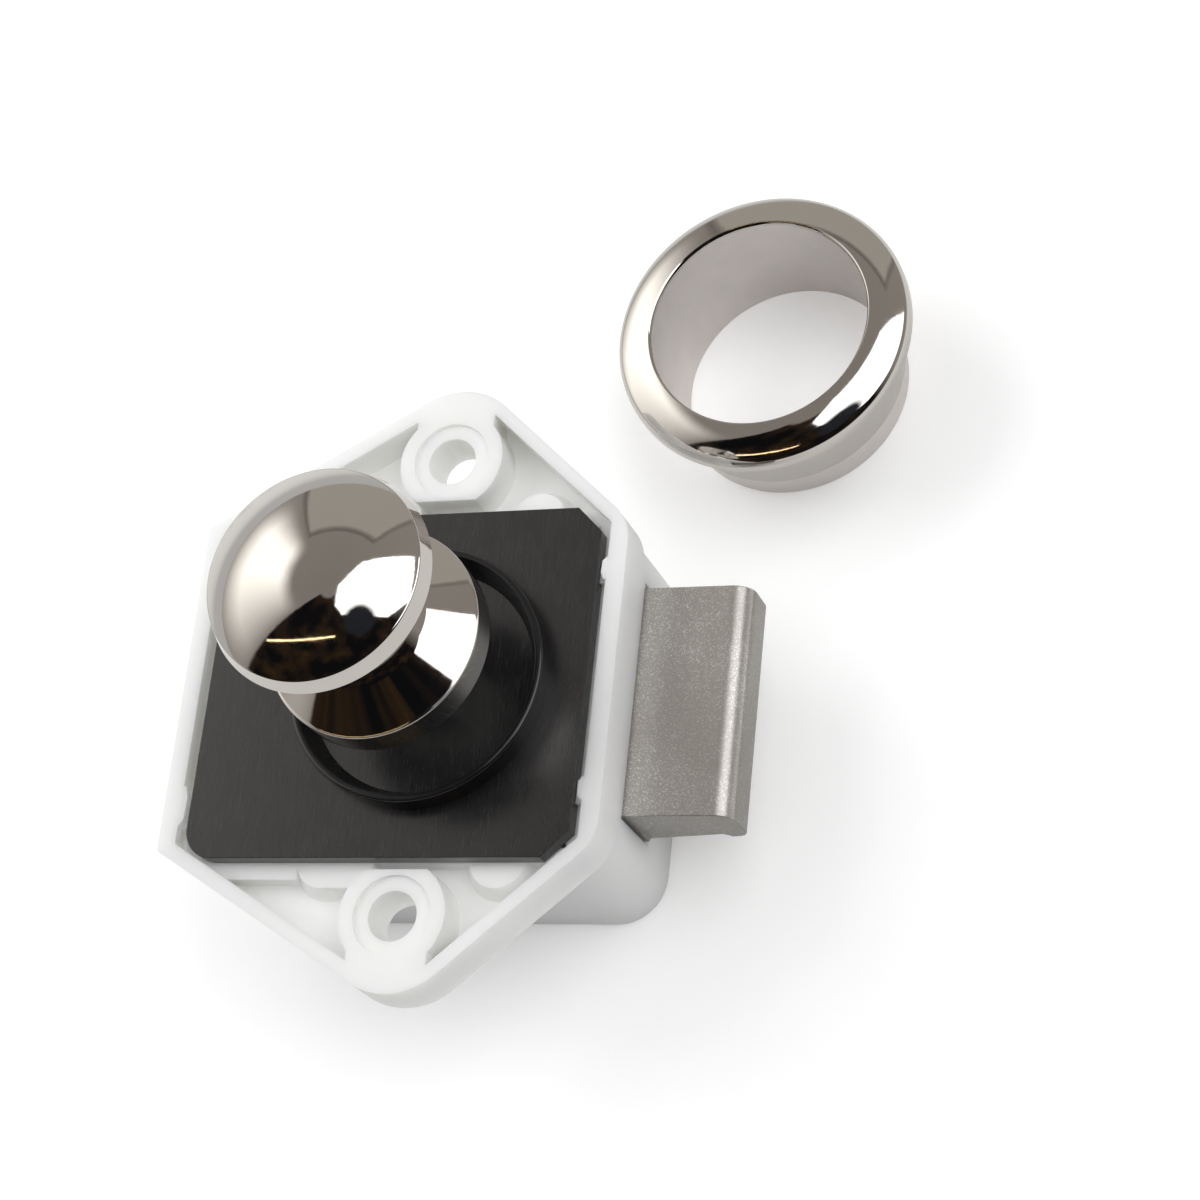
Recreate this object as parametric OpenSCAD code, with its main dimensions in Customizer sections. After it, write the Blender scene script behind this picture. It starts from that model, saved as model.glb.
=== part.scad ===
// Push button cabinet lock with loose rosette, all sizes in mm.
// Origin: spindle axis in the plane of the case rim. +Z is the way the knob comes out,
// +X the way the bolt comes out, +Y runs along the line of the two screw holes.
// Rest pose: knob pushed in, bolt out. The cam pin stands at the head of its release channel.

/* [Case] */
// Spindle axis to the plain end of the flange
case_left = 25; // [22.5:0.1:30]
// Spindle axis to the bolt end of the flange
case_right = 19.05; // [18:0.05:24]
// Half length of the plain end edge
left_half = 16.7; // [14:0.05:20]
// Half length of the bolt end edge
right_half = 15.7; // [13:0.05:18]
// Distance between the two screw holes
screw_pitch = 45.8; // [44:0.1:50]
// Sharp flange corner beyond a screw hole
tip_over = 9; // [8:0.1:12]
// Sharp flange corner toward the bolt end
tip_x = 1.2; // [-2:0.1:3]
// Rounding of the two flange tips
tip_r = 7; // [4:0.5:9]
// Rounding of the plain end corners
left_r = 0.5; // [0.3:0.1:3]
// Rounding of the bolt end corners
right_r = 4.8; // [1:0.1:5]
// Height of the flange skirt
skirt_h = 5; // [4:0.1:7]
// Rim width along the two end edges
rim_end = 1.8; // [1.2:0.1:2.2]
// Rim width along the slanted edges at the bolt end
rim_side = 1.3; // [0.8:0.1:1.8]
// Rim width along the slanted edges at the plain end
rim_tail = 1.5; // [0.8:0.1:1.8]
// Depth of the pockets beside the plate
pocket_d = 3.8; // [2.5:0.1:4.2]
// Overall depth of the case
case_depth = 21.5; // [21:0.1:26]
// Spindle axis to the back wall of the box
box_left = 22; // [21:0.1:24]
// Width of the box
box_w = 34.9; // [33:0.1:38]
// Rounding of the box corners
box_r = 4.8; // [2:0.1:6]
// Rounding of the back edge of the box
back_r = 0.8; // [0.3:0.1:1.2]
// Wall of the box
wall_t = 1.5; // [1.2:0.1:2.2]
// Wall that the bolt goes through
front_wall = 3.55; // [2.5:0.05:4.5]
// Back wall of the case
floor_t = 1.5; // [1.2:0.1:2]
// Outer radius of a screw boss
boss_r = 5.3; // [4.8:0.1:6]
// Flat of a boss toward the plate, from the hole centre
boss_flat = 4.35; // [4.1:0.05:4.8]
// Width of the web from boss to tip
tip_web = 8; // [5:0.5:9]
// Radius of a screw hole
hole_r = 2.4; // [1.8:0.05:2.8]
// Radius of the shallow seat round a screw hole
seat_r = 3.83; // [3.2:0.01:4.1]
// Depth of that seat
seat_d = 0.35; // [0.2:0.05:0.8]
// Reach of the pads beside a boss, past the plate
pad_out = 2.4; // [1.5:0.1:3]
// Radius of a pad
pad_r = 2.7; // [2:0.1:3]
// Screw hole to the middle of a pad, along the plate
pad_x = 9; // [8:0.1:9.5]
// Flare of a pad at its foot
pad_flare = 0.8; // [0.2:0.1:1]
// Width of the shelf along the plate at the plain end
shelf_w = 1.6; // [1:0.1:2]
// Length of a nib at the bolt end
nib_len = 2.3; // [1.5:0.1:3]
// Length of a nib at the plain end
tail_nib_len = 4; // [2:0.1:5]
// Distance of a nib from the centre line
nib_y = 10.9; // [8:0.1:11.5]

/* [Cover plate and collar] */
// Length of the plate
plate_len = 38.7; // [37.5:0.1:39.5]
// Clear way from the plate to the rim at the bolt end
plate_gap = 0.95; // [0.6:0.05:1.4]
// Width of the plate
plate_w = 34.7; // [33.5:0.1:35.5]
// Thickness of the plate
plate_t = 1.6; // [1.2:0.1:2]
// Plate below the rim
plate_sink = 0.3; // [0.1:0.05:0.8]
// Chamfer of the corners at the bolt end
plate_chamfer = 2.6; // [1:0.1:4]
// Rounding of the corners at the plain end
plate_r = 3; // [1.5:0.1:4]
// Outer radius of the collar, for a 26 mm hole
collar_r = 12.75; // [12:0.05:13.5]
// Width of the collar at the plate
collar_foot = 1.7; // [1.2:0.05:2.2]
// Width of the collar at its top
collar_land = 0.75; // [0.5:0.05:1]
// Height of the collar above the plate
collar_h = 2.4; // [1.5:0.1:4]
// Depth of the groove that the collar is pressed into
groove_d = 0.6; // [0.3:0.1:0.8]

/* [Knob] */
// Plate to the underside of the knob
knob_lift = 9; // [8:0.1:12]
// Radius of the knob's base
knob_base_r = 10.25; // [9:0.05:10.5]
// Height of the knob's base
knob_base_h = 3.4; // [2.5:0.1:4.5]
// Slope of the neck above the base, from level
knob_foot_slope = 39.5; // [35:0.5:45]
// Radius of the waist
knob_waist_r = 5.2; // [4.6:0.1:6]
// Radius of the hollow sweep of the waist
knob_waist_bend = 4; // [3:0.1:4.4]
// Base to the underside of the head
knob_waist_h = 11.45; // [10:0.05:13]
// Radius of the head
knob_head_r = 10.65; // [9.5:0.05:10.8]
// Height of the head's edge
knob_head_h = 0.8; // [0.7:0.05:3]
// Radius of the domed face
knob_face_r = 9.65; // [8:0.05:9.8]
// Step from the shoulder to the face
knob_step = 0.1; // [0.1:0.05:0.8]
// Rise of the domed face
knob_dome = 4; // [0.8:0.1:5]

/* [Plunger] */
// Travel of knob and plunger
travel = 8; // [6:0.1:8.5]
// Further push that frees the cam pin
over_travel = 1.2; // [0.8:0.1:1.5]
// Clear way under the plunger beyond that push
bottom_room = 0.6; // [0.3:0.1:1]
// Axis to the face toward the bolt
bar_front = 3.5; // [3.2:0.1:4]
// Axis to the face with the cam track
bar_back = 5; // [4.6:0.1:5.4]
// Width of the plunger
bar_w = 7; // [6.4:0.1:7.6]
// Rounding of its edges
bar_r = 1.2; // [0.5:0.1:1.5]
// Depth of its seat in the knob
socket_d = 3.5; // [2:0.1:5]
// Thickness of a wedge on the plunger's side
wedge_t = 2; // [1.4:0.1:2.4]
// Bolt travel for one millimetre of knob travel
wedge_ratio = 1.25; // [1:0.05:1.3]
// Radius of the bore for the knob spring
bore_r = 2.35; // [2.2:0.05:2.6]
// Plunger's underside to the seat of the screw
bore_len = 12.2; // [10:0.1:14]
// Radius of the knob screw
screw_r = 1.5; // [1.25:0.05:1.75]
// Radius of its head
screw_head_r = 2; // [1.8:0.05:2.1]
// Height of its head
screw_head_h = 1.8; // [1.2:0.1:2.4]
// Length of the knob screw
screw_len = 24; // [20:1:28]
// Thickness of the washer
washer_t = 0.5; // [0.3:0.1:0.8]

/* [Latch bolt] */
// Bolt beyond the case
bolt_out = 10.45; // [10.3:0.05:13]
// Width of the bolt
bolt_w = 22.9; // [20:0.1:24]
// Thickness of the bolt
bolt_t = 7.5; // [6.5:0.1:8]
// Rounding of the upper front edge
bolt_r = 2; // [1:0.1:3]
// Rounding of the lower front edge
bolt_low_r = 1.1; // [0.5:0.1:1.5]
// Rise of the bevelled underside at the front
bolt_bevel = 1.3; // [0.5:0.1:2]
// Depth of the hollow in each end face
relief_d = 0.3; // [0.15:0.05:0.5]
// Outer width across the two arms
arms_w = 21.6; // [20.6:0.1:22.4]
// Clear way between bolt and case
bolt_gap = 0.35; // [0.25:0.05:0.5]
// Upper edge of the arms below the bolt's top
arm_drop = 0.2; // [0:0.1:0.5]
// Clear way between wedge and arm, along the bolt
wedge_gap = 0.15; // [0.1:0.05:0.3]
// Thickness of the cross bar
cross_t = 2.5; // [2:0.1:3]
// Height of the cross bar
cross_h = 5.6; // [4:0.1:7]
// Thickness of the rails under the arms
rail_h = 1.1; // [0.8:0.1:1.6]

/* [Springs and cam pin] */
// Wire of the knob spring
knob_wire = 0.55; // [0.4:0.05:0.6]
// Outer diameter of the knob spring
knob_spring_d = 4; // [3.8:0.1:4.2]
// Curls of the knob spring
knob_curls = 8; // [6:1:9]
// Wire of a bolt spring
bolt_wire = 0.45; // [0.3:0.05:0.5]
// Outer diameter of a bolt spring
bolt_spring_d = 3.4; // [3:0.1:3.6]
// Curls of a bolt spring
bolt_curls = 15; // [10:1:18]
// Radius of the pockets that the bolt springs run in
pocket_r = 2; // [1.9:0.05:2.1]
// Radius of a spring pin
spring_pin_r = 0.8; // [0.6:0.05:0.85]
// Seat of a spring pin in the back wall
spring_pin_seat = 1; // [0.6:0.1:1.1]
// Wire of the cam pin
cam_wire = 1.2; // [1:0.05:1.3]
// Length of the cam pin
cam_len = 10; // [9:0.1:11]
// Swing of the cam pin to one side
cam_side = 1.6; // [1.5:0.05:1.7]
// Depth of the cam track
track_d = 1.5; // [1.2:0.05:1.8]
// Room above the guide plate for the cam pin
pin_room = 2.7; // [2.4:0.1:3.2]
// Thickness of the guide plate
guide_t = 1.3; // [1:0.1:1.8]
// Thickness of the leaf spring
leaf_t = 0.3; // [0.2:0.05:0.4]
// Width of the leaf spring
leaf_w = 3; // [2:0.1:4]
// Radius of a guide plate screw
small_screw_r = 1; // [0.8:0.05:1.1]
// Length of a guide plate screw
small_screw_len = 7; // [5:0.5:9]

/* [Rosette] */
// Spindle axis to the rosette's axis, toward the bolt
rosette_x = 27.5; // [25:0.5:60]
// Spindle axis to the rosette's axis, along the screw line
rosette_y = 39.8; // [38:0.1:60]
// Height of the rosette
rosette_h = 14.5; // [11:0.1:18]
// Radius of its bore
rosette_bore_r = 11; // [10.9:0.05:11.3]
// Radius of its barrel
rosette_barrel_r = 12.4; // [12:0.05:13]
// Radius of its flange
rosette_flange_r = 14.9; // [14:0.1:17]
// Height of its flange
rosette_flange_h = 3.2; // [2.5:0.1:5]
// Width of the flat lip round its bore
rosette_lip = 0.35; // [0.2:0.05:0.6]
// Height of the tapered end of the barrel
rosette_lead = 3.7; // [1:0.1:5]
// Taper of that end
rosette_taper = 0.5; // [0.1:0.05:0.8]

/* [View] */
// Piece to draw

/* [Hidden] */
$fa = 5;
$fs = 0.35;
eps = 0.01;
slip = 0.3;
fit = 0.05;
// Levels, from the rim down
plate_top = -plate_sink;
plate_bot = plate_top - plate_t;
guide_top = plate_bot - pin_room;
guide_bot = guide_top - guide_t;
bolt_top = guide_bot - slip - 0.2;
bolt_bot = bolt_top - bolt_t;
cav_z0 = -case_depth + floor_t;
arm_top = bolt_top - arm_drop;
arm_bot = cav_z0 + rail_h + slip;
pin_z = guide_top + pin_room / 2 - 0.15;
bar_z0 = cav_z0 + bottom_room + over_travel;
wedge_top = plate_bot - slip - travel;
screw_seat_z = bar_z0 + bore_len;
// Knob levels
knob_z0 = plate_top + knob_lift;
knob_z1 = knob_z0 + knob_base_h;
knob_z2 = knob_z1 + knob_waist_h;
knob_z3 = knob_z2 + knob_head_h;
bar_z1 = knob_z0 + socket_d;
// Cavity
cav_x0 = -(box_left - wall_t);
cav_x1 = case_right - front_wall;
cav_y = box_w / 2 - wall_t;
// Bolt
bolt_travel = wedge_ratio * travel;
bolt_x1 = case_right + bolt_out;
head_x0 = bar_front + bolt_travel + 0.5;
arm_x0 = cav_x0 + slip + bolt_travel;
arm_x1 = cav_x1 - slip;
wedge_y = bar_w / 2 + wedge_t;
// the wedges are as high as the travel, and no longer than the bar
wedge_z0 = max(bar_z0, wedge_top - travel);
wedge_x0 = bar_front - wedge_ratio * (wedge_top - wedge_z0);
arm_in = wedge_y + 0.4;
thick_in = bar_w / 2 + 0.4;
spring_y = (arm_in + arms_w / 2) / 2;
spring_z = (arm_top + arm_bot) / 2 + 0.6;
pocket_x1 = arm_x1 - 6.2;
pin_x1 = pocket_x1 - bolt_travel - 1;
cross_x1 = wedge_x0 - 0.9;
rail_y = bolt_w / 2 + slip;
post = cav_y - arms_w / 2 - 0.9;
screw_px = cav_x0 + post / 2;
screw_py = cav_y - post / 2;
// Cam pin: its swing is in step with the plunger's travel
cam_angle = asin(cam_side / cam_len);
cam_px = -(bar_back - 1) - cam_len * cos(cam_angle);
track_r = cam_wire / 2 + slip;
// Plate
plate_x1 = case_right - rim_end - plate_gap;
plate_x0 = plate_x1 - plate_len;
// Rosette stands on what the case lies on
rosette_z0 = -case_depth;
rosette_z1 = rosette_z0 + rosette_h;
apex_y = screw_pitch / 2 + tip_over;

// Outline of the flange, counterclockwise from the plain end
flange_pts = [
    [-case_left, -left_half], [tip_x, -apex_y], [case_right, -right_half],
    [case_right, right_half], [tip_x, apex_y], [-case_left, left_half]
];
flange_rs = [left_r, tip_r, right_r, right_r, tip_r, left_r];

function unit(v) = v / norm(v);
function wrap(p, i) = p[(i + len(p)) % len(p)];
function to_prev(p, i) = unit(wrap(p, i - 1) - p[i]);
function to_next(p, i) = unit(wrap(p, i + 1) - p[i]);
function half_angle(p, i) = acos(to_prev(p, i) * to_next(p, i)) / 2;
// Centre of the rounding at corner i
function corner(p, i, r) = p[i] + unit(to_prev(p, i) + to_next(p, i)) * r / sin(half_angle(p, i));
// Points on an arc about c
function arc(c, r, a0, a1, n = 8) = [for (k = [0:n]) c + r * [cos(a0 + (a1 - a0) * k / n), sin(a0 + (a1 - a0) * k / n)]];
// Line moved inward by d, met with the next one
function line_n(p, i) = let (t = to_next(p, i)) [-t[1], t[0]];
function meet(p, i, d0, d1) =
    let (n0 = line_n(p, (i + len(p) - 1) % len(p)), n1 = line_n(p, i),
         c0 = n0 * p[i] + d0, c1 = n1 * p[i] + d1, det = n0[0] * n1[1] - n0[1] * n1[0])
    [(c0 * n1[1] - n0[1] * c1) / det, (n0[0] * c1 - c0 * n1[0]) / det];
rims = [rim_tail, rim_side, rim_end, rim_side, rim_tail, rim_end];
inner_pts = [for (i = [0:5]) meet(flange_pts, i, wrap(rims, i - 1), rims[i])];
inner_rs = [0.3, tip_r - rim_side, 0.4, 0.4, tip_r - rim_side, 0.3];

// Convex outline with true arcs at its corners
module rounded(p, rs) {
    polygon([for (i = [0:len(p) - 1]) for (s = [0, 1])
        p[i] + (s == 0 ? to_prev(p, i) : to_next(p, i)) * rs[i] / tan(half_angle(p, i))]);
    for (i = [0:len(p) - 1])
        translate(corner(p, i, rs[i])) circle(rs[i]);
}

module rounded_box(x0, x1, w, r) {
    rounded([[x0, -w / 2], [x1, -w / 2], [x1, w / 2], [x0, w / 2]], [r, r, r, r]);
}

module bar_section(g = 0) {
    rounded_box(-bar_back - g, bar_front + g, bar_w + 2 * g, bar_r + g);
}

module both_sides() {
    children();
    mirror([0, 1, 0]) children();
}

// Coil of round wire along +Z, as one unbroken tube
function coil_at(r, l, turns, wire, a) =
    [r * cos(a), r * sin(a), wire / 2 + (l - wire) * a / (360 * turns)];
function coil_path(r, l, turns, wire) =
    [for (k = [0:8 * turns]) coil_at(r, l, turns, wire, 45 * k)];
function least_gap(p, wire) =
    min([for (i = [0:len(p) - 6]) for (j = [i + 5:len(p) - 1]) norm(p[i] - p[j])]) - wire;

module coil(r, l, turns, wire) {
    p = coil_path(r, l, turns, wire);
    n = len(p);
    rise = (l - wire) / turns / (2 * PI * r);
    ring = [for (k = [0:n - 1]) for (s = [0:5])
        let (a = 45 * k, u = [cos(a), sin(a), 0],
             v = unit([sin(a) * rise, -cos(a) * rise, 1]))
        p[k] + wire / 2 * (cos(60 * s) * u + sin(60 * s) * v)];
    sides = [for (k = [0:n - 2]) for (s = [0:5])
        let (a = 6 * k + s, b = 6 * k + (s + 1) % 6)
        each [[a, a + 6, b], [b, a + 6, b + 6]]];
    ends = [for (s = [1:4]) each [[0, s, s + 1], [6 * n - 6, 6 * n - 6 + s + 1, 6 * n - 6 + s]]];
    polyhedron(ring, concat(sides, ends), convexity = 8);
}

knob_coil_l = screw_seat_z - washer_t - screw_head_h - cav_z0 - 0.1;
bolt_coil_l = pocket_x1 - cav_x0 - 0.1;
knob_coil_r = (knob_spring_d - knob_wire) / 2;
bolt_coil_r = (bolt_spring_d - bolt_wire) / 2;
echo(knob_spring_gap = least_gap(coil_path(knob_coil_r, knob_coil_l, knob_curls, knob_wire), knob_wire));
echo(bolt_spring_gap = least_gap(coil_path(bolt_coil_r, bolt_coil_l, bolt_curls, bolt_wire), bolt_wire));

// Boss, its web to the tip and nothing else, for one screw hole
module boss_2d() {
    intersection() {
        union() {
            translate([0, screw_pitch / 2]) circle(boss_r);
            translate([-tip_web / 2, screw_pitch / 2]) square([tip_web, tip_over]);
        }
        translate([-boss_r, screw_pitch / 2 - boss_flat]) square([2 * boss_r, boss_flat + tip_over]);
    }
}

// Pads and shelf that carry the plate's edge inside a pocket
module pads() {
    h = pocket_d + plate_bot + eps;
    y = plate_w / 2 + pad_out - pad_r;
    intersection() {
        translate([0, 0, -pocket_d - eps]) {
            translate([pad_x, y, 0]) cylinder(r1 = pad_r + pad_flare, r2 = pad_r, h = h);
            translate([0.6 - pad_x, y, 0]) cylinder(r1 = pad_r + pad_flare, r2 = pad_r, h = h);
            translate([0.6 - pad_x, y - pad_r, 0]) cube([pad_x - boss_r + 1.4, 2 * pad_r, h]);
        }
        translate([-case_left, box_w / 2 - 1, -case_depth]) cube([case_left + case_right, 10, case_depth]);
    }
}

// Nib that locates the plate, with its head standing out from the rim
module nib(len, gap) {
    translate([-gap, -len / 2, plate_bot - eps]) cube([gap + eps, len, 0.6 * plate_t]);
    translate([0, 0, plate_bot + 0.5]) linear_extrude(-plate_bot - 0.53)
        polygon([[eps, -len / 2], [-0.25, -len / 2], [-0.55, -len / 5], [-0.45, len / 3], [eps, len / 2]]);
}

module case_body() {
    translate([0, 0, -skirt_h]) linear_extrude(skirt_h) rounded(flange_pts, flange_rs);
    // box with a rounded back edge
    translate([0, 0, -case_depth + back_r]) linear_extrude(case_depth - back_r - 1)
        rounded_box(-box_left, case_right, box_w, box_r);
    for (k = [0:3]) {
        a = 90 * k / 4;
        b = 90 * (k + 1) / 4;
        g = back_r * (1 - cos(a + 11.25));
        translate([0, 0, -case_depth + back_r - back_r * sin(b)])
            linear_extrude(back_r * (sin(b) - sin(a)) + eps)
            rounded_box(-box_left + g, case_right - g, box_w - 2 * g, box_r - g);
    }
}

module case() {
    difference() {
        case_body();
        // room for the plate, inside the rim
        translate([0, 0, plate_bot]) linear_extrude(-plate_bot + 1) difference() {
            rounded(inner_pts, inner_rs);
            both_sides() boss_2d();
        }
        // pockets beside the plate
        translate([0, 0, -pocket_d]) linear_extrude(pocket_d) difference() {
            rounded(inner_pts, inner_rs);
            both_sides() boss_2d();
            translate([-case_left, -box_w / 2]) square([case_left + case_right, box_w]);
            both_sides() translate([-case_left, 0]) square([case_left - pad_x - 2, plate_w / 2 + shelf_w]);
        }
        // cavity, with its open top under the plate
        translate([cav_x0, -cav_y, cav_z0]) cube([cav_x1 - cav_x0, 2 * cav_y, -cav_z0]);
        // way for the bolt
        translate([cav_x1 - 1, -bolt_w / 2 - bolt_gap, bolt_bot - bolt_gap])
            cube([front_wall + 2, bolt_w + 2 * bolt_gap, bolt_t + 2 * bolt_gap]);
        both_sides() translate([0, screw_pitch / 2, 0]) {
            translate([0, 0, -skirt_h - 1]) cylinder(r = hole_r, h = skirt_h + 2);
            translate([0, 0, -seat_d]) cylinder(r = seat_r, h = 1);
        }
        // seats of the spring pins in the back wall
        both_sides() translate([cav_x0 - spring_pin_seat, spring_y, spring_z]) rotate([0, 90, 0])
            cylinder(r = spring_pin_r + fit, h = spring_pin_seat + 1);
    }
    difference() {
        union() {
            // posts for the guide plate screws
            both_sides() translate([cav_x0 - eps, cav_y - post, cav_z0 - eps])
                cube([post, post + eps, guide_bot - cav_z0 + eps]);
            // side guides for the bolt
            both_sides() translate([head_x0 - bolt_travel - 1, rail_y, cav_z0 - eps])
                cube([cav_x1 - head_x0 + bolt_travel + 1 + eps, wall_t, guide_bot - cav_z0 + eps]);
        }
        both_sides() translate([screw_px, screw_py, guide_bot - small_screw_len])
            cylinder(r = small_screw_r + fit, h = small_screw_len + 1);
    }
    // rails under the arms
    both_sides() translate([cav_x0 - eps, arm_in + 0.8, cav_z0 - eps])
        cube([arm_x1 - cav_x0, 2, rail_h + eps]);
    // post inside the knob spring
    translate([0, 0, cav_z0 - eps]) cylinder(r = knob_spring_d / 2 - knob_wire - slip, h = 5 + eps);
    both_sides() pads();
    // nibs at the plate's ends
    both_sides() {
        translate([case_right - rim_end, nib_y, 0]) nib(nib_len, plate_gap - fit);
        translate([-case_left + rim_end, nib_y + tail_nib_len / 3, 0]) mirror([1, 0, 0])
            nib(tail_nib_len, plate_x0 + case_left - rim_end - fit);
    }
}

module plate_2d() {
    difference() {
        rounded([[plate_x0, -plate_w / 2], [plate_x1, -plate_w / 2], [plate_x1, plate_w / 2], [plate_x0, plate_w / 2]],
            [plate_r, 0.3, 0.3, plate_r]);
        for (s = [-1, 1])
            translate([plate_x1, s * plate_w / 2]) rotate(45)
                square([plate_chamfer * sqrt(2), plate_chamfer * sqrt(2)], center = true);
    }
}

module cover_plate() {
    difference() {
        translate([0, 0, plate_bot]) linear_extrude(plate_t) plate_2d();
        translate([0, 0, plate_bot - 1]) linear_extrude(plate_t + 2) bar_section(slip);
        translate([0, 0, plate_top - groove_d]) difference() {
            cylinder(r = collar_r - 0.25 + fit, h = groove_d + 1);
            translate([0, 0, -1]) cylinder(r = collar_r - collar_foot + 0.3 - fit, h = groove_d + 3);
        }
    }
}

module collar() {
    r0 = collar_r - collar_foot;
    top = plate_top + collar_h;
    e = collar_land / 2;
    rotate_extrude() polygon(concat(
        [[r0 + 0.3, plate_top - groove_d + 0.02], [collar_r - 0.25, plate_top - groove_d + 0.02],
         [collar_r - 0.25, plate_top], [collar_r, plate_top]],
        arc([collar_r - e, top - e], e, 0, 90, 5),
        arc([collar_r - collar_land + 0.15, top - 0.15], 0.15, 90, 158, 3),
        [[r0, plate_top + 0.02], [r0, plate_top], [r0 + 0.3, plate_top]]
    ));
}

module guide_hole_2d(g) {
    bar_section(g);
    // way for the wedges when the plunger is out
    x0 = bar_front - wedge_ratio * (guide_bot - wedge_top - travel) * -1 - 1;
    translate([x0, -wedge_y - slip]) square([bar_front + slip - x0, 2 * (wedge_y + slip)]);
}

module guide_plate() {
    difference() {
        union() {
            translate([cav_x0 + slip, -cav_y + slip, guide_bot])
                cube([cav_x1 - cav_x0 - 2 * slip, 2 * (cav_y - slip), guide_t]);
            // boss that the cam pin turns in
            translate([cam_px, 0, guide_bot]) cylinder(r = cam_wire / 2 + 1.2, h = pin_z - cam_wire / 2 - 0.2 - guide_bot);
            // peg of the leaf spring
            translate([cam_px - 3.2, 0, guide_bot]) cylinder(r = 0.6, h = guide_t + leaf_t + 0.3);
        }
        translate([0, 0, guide_bot - 1]) linear_extrude(guide_t + 3) guide_hole_2d(slip);
        translate([cam_px, 0, guide_bot - 1]) cylinder(r = cam_wire / 2 + fit, h = guide_t + 4);
        both_sides() translate([screw_px, screw_py, guide_bot - 1])
            cylinder(r = small_screw_r + 0.1, h = guide_t + 2);
    }
}

module guide_screws() {
    both_sides() translate([screw_px, screw_py, guide_top]) {
        translate([0, 0, -small_screw_len]) cylinder(r = small_screw_r, h = small_screw_len);
        difference() {
            cylinder(r = small_screw_r * 1.8, h = 1.2);
            translate([0, 0, 0.7]) cube([0.4, small_screw_r * 2.6, 1.2], center = true);
            translate([0, 0, 0.7]) cube([small_screw_r * 2.6, 0.4, 1.2], center = true);
        }
    }
}

module spring_pins() {
    both_sides() translate([cav_x0 - spring_pin_seat + fit, spring_y, spring_z]) rotate([0, 90, 0]) {
        cylinder(r = spring_pin_r, h = pin_x1 - cav_x0 + spring_pin_seat - fit - 0.4);
        translate([0, 0, pin_x1 - cav_x0 + spring_pin_seat - fit - 0.4])
            cylinder(r1 = spring_pin_r, r2 = spring_pin_r - 0.3, h = 0.4);
    }
}

module pin_spring() {
    x1 = cam_px - cam_wire / 2 - slip;
    difference() {
        union() {
            translate([x1 - 5, -leaf_w / 2, guide_top]) cube([5, leaf_w, leaf_t]);
            translate([x1 - leaf_t, -leaf_w / 2, guide_top]) cube([leaf_t, leaf_w, pin_room - 0.5]);
        }
        translate([cam_px - 3.2, 0, guide_top - 1]) cylinder(r = 0.6 + fit, h = 3);
        translate([cam_px, 0, guide_top - 1]) cylinder(r = cam_wire / 2 + 1.2 + fit, h = pin_z - cam_wire / 2 - guide_top + 1);
    }
}

// Half section of the knob, base to dome
function knob_half() =
    let (dome_r = (knob_face_r * knob_face_r + knob_dome * knob_dome) / (2 * knob_dome),
         dome_z = knob_z3 + knob_step + knob_dome - dome_r,
         dome_a = asin(knob_face_r / dome_r),
         foot = [knob_base_r - 0.3, knob_z1 + 0.1],
         head = [knob_head_r - 0.2, knob_z2],
         bend_r = knob_waist_r + knob_waist_bend,
         bend_z = foot[1] + (foot[0] - bend_r + knob_waist_bend * sin(knob_foot_slope)) * tan(knob_foot_slope)
             + knob_waist_bend * cos(knob_foot_slope),
         bend = [bend_r, bend_z],
         leave = atan2(head[1] - bend_z, head[0] - bend_r) + acos(knob_waist_bend / norm(head - bend)))
    concat(
        [[0, knob_z0], [knob_base_r - 0.5, knob_z0], [knob_base_r - 0.15, knob_z0 + 0.35]],
        arc([knob_base_r - 0.25, knob_z1 - 0.25], 0.25, 0, 80, 4),
        [foot],
        arc(bend, knob_waist_bend, 270 - knob_foot_slope, leave, 12),
        [head, [knob_head_r, knob_z2 + 0.25]],
        arc([knob_head_r - 0.3, knob_z3 - 0.3], 0.3, 0, 80, 4),
        [[knob_face_r, knob_z3 + 0.05]],
        [for (k = [0:8]) let (a = dome_a * (1 - k / 8)) [dome_r * sin(a), dome_z + dome_r * cos(a)]]
    );

module knob() {
    difference() {
        rotate_extrude() polygon(knob_half());
        translate([0, 0, knob_z0 - 1]) linear_extrude(socket_d + 1) bar_section(fit);
        translate([0, 0, knob_z0]) cylinder(r = screw_r + fit, h = screw_seat_z + screw_len - knob_z0 + 0.5);
    }
}

// Cam track, seen on the plunger's back: heart-shaped island between two channels
module track_2d() {
    low = pin_z - travel;
    difference() {
        union() {
            for (s = [-1, 1]) {
                hyp = norm([cam_side, travel]);
                translate([0, low]) rotate(s * -atan(cam_side / travel)) {
                    translate([-track_r, 0]) square([2 * track_r, hyp]);
                    circle(track_r);
                    translate([0, hyp]) circle(track_r);
                }
            }
            translate([-cam_side - track_r, pin_z]) square([2 * (cam_side + track_r), over_travel + track_r - 0.3]);
            translate([-cam_side, pin_z - 1]) square([2 * cam_side, 2]);
        }
        // island with the notch that the cam pin rests in when locked
        polygon([[-cam_side + track_r + 0.03, pin_z - 0.7], [-0.2, pin_z - 1.25], [cam_side - track_r - 0.03, pin_z - 0.7],
            [cam_side - track_r - 0.15, pin_z - 1.7], [0, pin_z - 3.3], [-cam_side + track_r + 0.15, pin_z - 1.7]]);
        // tooth that turns the cam pin aside
        polygon([[-0.7, pin_z + 4], [0.25, pin_z + over_travel + 0.15], [1.1, pin_z + 4]]);
    }
}

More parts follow.
